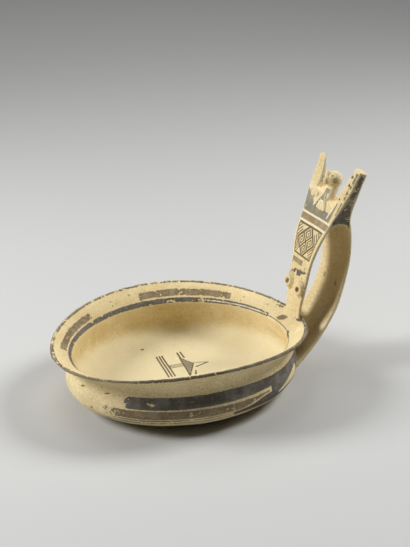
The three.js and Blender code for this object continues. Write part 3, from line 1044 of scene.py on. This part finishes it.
def inside_clay():
    clay = Clay("clay_inside", 0.3)
    angle, depth = clay.angle, clay.arc
    lip_degree = LIP_RADIUS * math.pi / 180

    # Paler tone below the neck, partly the clay's colour and partly painted brightness of the lit floor
    clay.paint(TONDO_LEVEL - clay.level, (PALE_LIT_TONDO, PALE_LIT_TONDO), ragged=0.5, hold=1.0, cover=0.62, soft=5)

    # Lip line, worn in places
    clay.paint(LIP_PAINT_INSIDE - depth, LIP, ragged=0.6, hold=0.045, rub=0.3)

    # Brown band on the flare, in broken stretches, and flecks left round it
    stretches = within_any(angle, FLARE_STRETCHES) * FLARE_END_SLOPE
    clay.paint(least(within(depth, *FLARE_BAND), stretches), BROWN, hold=0.09)
    flecks = (clay.specks(spacing=7.5, rare=0.5, reach=0.16, seed=5)
              + clay.specks(spacing=4.0, rare=0.72, reach=0.17, seed=6))
    strip = least(within(depth, *FLECK_BAND), within_any(angle, FLECK_STRETCHES))
    clay.layer(least(flecks, step(strip, 0, 2)) * 0.85, BROWN)

    # Dark band on the neck's crease, a thin line that carries it on, and a pale line in it
    ring = within_any(angle, NECK_STRETCHES) * NECK_END_SLOPE
    clay.paint(least(within(depth, *NECK_BAND), ring), DARK, ragged=0.5, hold=0.065, rub=0.3)
    clay.lines(box(angle, depth, NECK_LINE), DARK)
    clay.paint(box(angle, depth, NECK_GAP), PALE, ragged=0.5, hold=0.035, cover=0.9)

    # Patches of paint left beside the handle's foot
    for centre, reach, turn, colours in FOOT_PATCHES:
        spot = blob(angle * lip_degree, depth, (centre[0] * lip_degree, centre[1]), reach, turn)
        clay.paint(spot, colours, hold=0.2)

    paint_bird(clay)
    clay.paint(blob(clay.x, clay.y, FLOOR_SPOT, (1.5, 1.1)), SPOT_AND_SHADE, ragged=0.3)
    return clay.finish()


def outside_clay():
    clay = Clay("clay_outside", 1.0)
    level = clay.level
    turn = abs(clay.angle)
    along_belly = turn * (BELLY_RADIUS * math.pi / 180)
    by_flake, by_patch = clay.uneven(24, 34)
    clay.paint(LIP_PAINT_OUTSIDE + clay.arc, LIP, ragged=0.6, hold=0.085, rub=0.05)

    # Dark band with a ragged end away from the handle, deeper near the handle's foot
    middle = BANDS_MEET - 0.4 * step(turn, 100, 70)
    half = BANDS_GAP + BANDS_GAP_MORE * step(turn, 112, 66)
    near_foot = step(turn, 61.5, 58)
    foot = least(middle + half, 40 - near_foot * 28)
    brown_foot = BROWN_BAND_FOOT + step(turn, 80, 60) * POINT_RISE
    top = DARK_BAND_TOP - 1.6 * step(turn, 90, 40)
    patch = stroke(along_belly, level, *BARE_PATCH)
    chip = blob(along_belly, level, *BAND_CHIP) + (clay.flake - 0.5) * 5
    wedge = least(within(level, WEDGE_FOOT, brown_foot - 1.3), within(turn, *WEDGE_STRETCH) * END_SLOPE)
    clay.paint(wedge, DARK, ragged=0.3, hold=0.14, rub=0.2)
    ragged_end = (DARK_BAND_END - turn) * BELLY_DEGREE + by_patch + by_flake
    band = least(within(level, foot, top), ragged_end, 0 - patch, 0 - chip)
    clay.paint(band, DARK, ragged=0.35, hold=0.13, rub=0.12)

    # Brown band below it, then two thin lines
    ragged_end = (BROWN_BAND_END - turn) * END_SLOPE + by_patch + by_flake
    band = least(within(level, brown_foot, 21.9 - half * 0.9 + 0.4), ragged_end,
                 (turn - BROWN_POINT) * END_SLOPE)
    clay.paint(band, BROWN, ragged=0.6, hold=0.09, rub=0.2)
    for heights, stretch, hold in THIN_LINES:
        line = least(within(level, *heights), within(turn, *stretch) * END_SLOPE)
        clay.lines(line, DARK, hold=hold)

    # Few small marks on the bare clay
    for degrees, height, reach in BELLY_SPOTS:
        spot = blob(along_belly, level, (degrees * BELLY_DEGREE, height), reach, -12)
        clay.paint(spot, SPOT_AND_SHADE, ragged=0.4, hold=0.25)
    return clay.finish()


def paint_crown(clay, front):
    """Grey crown across the fork's root and up the far horn's edge, with spots of it higher up."""
    y, z = clay.y, clay.z
    top = CROWN_TOP + 4.4 * step(y, 11.5, 17) + 5.6 * step(y, 16, 31)
    crown_paint = most(least(z - CROWN_FOOT, top - z, y - CROWN_NEAR_EDGE), stroke(y, z, *CROWN_PIECE))
    clay.paint(least(crown_paint, front), GREY, ragged=0.6, hold=0.1)
    for centre, reach, turn in CROWN_SPOTS:
        spot = least(blob(y, z, centre, reach, turn), front)
        clay.paint(spot, GREY_RUBBED, ragged=0.4, hold=0.1, cover=0.8)


def paint_dress(clay, front):
    """Painted dress on the little figure, on a paler ground, and the crown's pale border."""
    y, z = clay.y, clay.z
    wedge = least(within(z, *DRESS_WEDGE), 2.4 + (136 - z) * 0.66 - abs(y))
    dress = most(strokes(y, z, DRESS_LEGS), wedge)
    clay.lines(least(dress + 1.5, within(z, *DRESS_GROUND), front), PALE, cover=0.75)
    clay.lines(least(most(dress, box(y, z, DRESS_APRON)), front), GREY, cover=0.85, hold=0.1)
    clay.lines(least(stroke(y, z, *CROWN_BORDER), front), PALE, cover=0.8)


def paint_head(clay):
    """Lines round the head's pellets, in arcs below them."""
    across = clay.vector("SUBTRACT", clay.place, HEAD_CENTRE)
    ux, uy, uz = clay.parts(clay.vector("NORMALIZE", across))
    away = length_of(clay.x - HEAD_CENTRE[0], clay.z - HEAD_CENTRE[2], clay.y - HEAD_CENTRE[1])
    for side in (-1, 1):
        ax, ay, az = (float(a) for a in pellet_axis(side))
        facing = ux * ax + uy * ay + uz * az
        distance = calc("ARCCOSINE", facing) * float(np.mean(HEAD_RADII))
        arcs = most(*(0.34 - abs(distance - d) for d in HEAD_ARCS))
        below = (facing * 0.9 - uz - 0.35) * 4
        marks = most(least(arcs, below), 0.4 - abs(distance - PELLET_RING), PELLET_DOT - distance)
        clay.lines(least(marks, HEAD_REACH - away), HEAD_INK, cover=0.6, hold=0.15)


def cell(term):
    """Distance from the middle of a cell one unit wide, 0 to a half."""
    return abs(calc("FRACT", term + 8.0) - 0.5)


def paint_panel(clay, front):
    """Brown band between pale lines, and a panel with a lozenge of small ones and hatched corners."""
    y, z = clay.y, clay.z
    clay.paint(least(box(y, z, CROWN_BAND), front), BROWN, ragged=0.25, cover=0.8)
    for heights in CROWN_LINES:
        clay.lines(least(within(z, *heights), front), PALE, cover=0.8, hold=0.2)
    half = PANEL_HALF_WIDTH + (z - PANEL_FOOT) * PANEL_WIDENING
    u = y / half
    v = (z - PANEL_MIDDLE) * (1 / PANEL_REACH)
    up, down = v + u / DIAMOND_SHARE, v - u / DIAMOND_SHARE
    ring = most(cell(up), cell(down))
    inside_diamond = least(1 - abs(up), 1 - abs(down)) * DIAMOND_PITCH
    grid = (ring - 0.5) * DIAMOND_PITCH + 0.72
    rings = 0.53 - abs(ring - 0.26) * DIAMOND_PITCH
    centres = 0.75 - ring * DIAMOND_PITCH
    diamond = least(most(grid, rings, centres), inside_diamond + 0.3)
    outline = 0.85 - abs(inside_diamond + 0.2)
    corners = least(most(abs(up), abs(down)) - 1, 0 - up * down)
    hatch_lines = 0.5 - abs(cell(inside_diamond * (1 / HATCH_PITCH)) - 0.5) * HATCH_PITCH
    hatch = least(hatch_lines, corners * DIAMOND_PITCH, 0 - inside_diamond - 1.2)
    panel_edge = least(within(z, *PANEL_HEIGHTS), half - abs(y))
    border = 0.65 - abs(panel_edge - 0.5)
    drawing = most(diamond, outline, border, hatch)
    clay.lines(least(drawing, panel_edge + 0.3, front), PANEL_INK, hold=0.13)


def paint_strap(clay, front):
    """Brown patch and a jagged dark one under the panel, and small marks further down."""
    y, z = clay.y, clay.z
    clay.paint(least(box(y, z, BROWN_PATCH), front), BROWN, ragged=0.6, hold=0.2, cover=0.8)
    clay.paint(least(strokes(y, z, JAGGED_PATCH), front), DARK, ragged=1.1, hold=0.085)
    clay.paint(least(blob(y, z, *EDGE_STAIN), front), (STAIN_AND_SHADE, BROWN[0]), ragged=0.5, hold=0.25)
    for centre, reach, cover in STRAP_STAINS:
        clay.paint(least(blob(y, z, centre, reach), front), SPOT_AND_SHADE, ragged=0.3, hold=0.2, cover=cover)


def shade_round_knobs(clay, front):
    """Painted shade round the knobs' feet and in their dimples."""
    for side in (-1, 1):
        middle = KNOB_HEIGHT + FAR_KNOB_LIFT * (side > 0)
        away = length_of(clay.y - side * KNOB_OFFSET, clay.z - middle)
        # Painted shade in the crease round the knob's foot, then in its dimple
        ring = least(0.6 - abs(away - KNOB_RING), front)
        clay.paint(ring, (STAIN_AND_SHADE, BROWN[1]), ragged=0.3, hold=0.04, cover=0.6)
        clay.paint(KNOB_HOLE - away, SPOT_AND_SHADE, ragged=0.1, hold=0.4, cover=0.55)


def paint_horns(clay, front):
    """Sides of the horns and web painted dark, much of it flaked off, and marks on the near horn."""
    y, z = clay.y, clay.z
    above = z - SIDE_FOOT - step(clay.patchy, 0.4, 0.6) * 3
    for side, hold in (("near_side", 0.07), ("far_side", 0.05)):
        clay.paint(least(above, clay.facing(side)), DARK, ragged=1.2, hold=hold)
    for centre, reach in HORN_SPOTS:
        clay.paint(least(blob(y, z, centre, reach), front), (INK, STAIN_AND_SHADE), ragged=0.2)
    edge = 2.1 - abs(0 - y - (z - HORN_EDGE_FOOT) * HORN_EDGE_LEAN - HORN_EDGE)
    edge = least(edge, within(z, *HORN_EDGE_HEIGHTS), front)
    clay.paint(edge, (INK, BROWN[0]), ragged=1.2, hold=0.03, cover=0.85)


def paint_back(clay, back):
    """Plainer bands and two rails on the outer face."""
    clay.paint(least(within(clay.z, *BACK_BAND), back), BROWN, ragged=0.7, hold=0.12)
    clay.paint(least(within(clay.z, *BACK_CROWN), back), DARK, ragged=0.8, hold=0.08)
    rails = 0.9 - abs(abs(clay.y) - BACK_RAILS)
    clay.paint(least(rails, within(clay.z, *BACK_RAIL_HEIGHTS), back), BROWN, ragged=0.4, hold=0.08)


def handle_clay():
    clay = Clay("clay_handle", 1.0)
    front = clay.facing("front")
    paint_crown(clay, front)
    paint_dress(clay, front)
    paint_head(clay)
    paint_panel(clay, front)
    paint_strap(clay, front)
    # Painted shade round the knobs
    shade_round_knobs(clay, front)
    paint_horns(clay, front)
    paint_back(clay, clay.facing("back"))
    return clay.finish()


for material in (inside_clay(), outside_clay(), handle_clay()):
    vessel.data.materials.append(material)

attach(vessel, "root")
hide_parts("kyathos")


def place_camera():
    azimuth, elevation, roll = (math.radians(a) for a in (CAMERA_AZIMUTH, CAMERA_ELEVATION, CAMERA_ROLL))
    right = Vector((math.cos(azimuth), -math.sin(azimuth), 0))
    level = Vector((math.sin(azimuth), math.cos(azimuth), 0))
    ahead = math.cos(elevation) * level + Vector((0, 0, -math.sin(elevation)))
    down = ahead.cross(right)
    axes = Matrix((right, down, ahead))
    rolled = Matrix(((math.cos(roll), -math.sin(roll), 0), (math.sin(roll), math.cos(roll), 0), (0, 0, 1)))
    axes = rolled @ axes
    offset = Vector(((RIM_CENTRE_PIXEL[0] + 0.5 - FRAME_WIDTH / 2) / FOCAL * CAMERA_DISTANCE,
                     (RIM_CENTRE_PIXEL[1] + 0.5 - FRAME_HEIGHT / 2) / FOCAL * CAMERA_DISTANCE,
                     CAMERA_DISTANCE))
    data = bpy.data.cameras.new("camera")
    data.sensor_width = SENSOR
    data.lens = FOCAL * SENSOR / FRAME_HEIGHT
    data.clip_start, data.clip_end = 0.05, 50
    camera = bpy.data.objects.new("camera", data)
    bpy.context.scene.collection.objects.link(camera)
    turn = Matrix((axes[0], -axes[1], -axes[2])).transposed()
    place = -(axes.transposed() @ offset) + Vector((0, 0, RIM_CENTRE_HEIGHT))
    camera.matrix_world = Matrix.Translation(place * MM) @ turn.to_4x4()
    bpy.context.scene.camera = camera


def area_light(name, place, target, size, power):
    data = bpy.data.lights.new(name, "AREA")
    data.shape = "DISK"
    data.size = size
    data.energy = power
    light = bpy.data.objects.new(name, data)
    light.location = place
    light.rotation_mode = "QUATERNION"
    light.rotation_quaternion = (Vector(target) - Vector(place)).to_track_quat("-Z", "Y")
    bpy.context.scene.collection.objects.link(light)


place_camera()
for light in LIGHTS:
    area_light(*light)

world = bpy.data.worlds.new("studio")
world.use_nodes = True
room = world.node_tree.nodes["Background"].inputs
room["Color"].default_value = ROOM_COLOUR
room["Strength"].default_value = ROOM_STRENGTH
bpy.context.scene.world = world
bpy.context.scene.view_settings.view_transform = "Standard"

floor = mesh_object("floor", FLOOR_CORNERS, [(0, 1, 2, 3)])
floor_material = bpy.data.materials.new("floor")
floor_material.use_nodes = True
finish = floor_material.node_tree.nodes["Principled BSDF"].inputs
finish["Base Color"].default_value = FLOOR_COLOUR
finish["Roughness"].default_value = FLOOR_ROUGHNESS
floor.data.materials.append(floor_material)
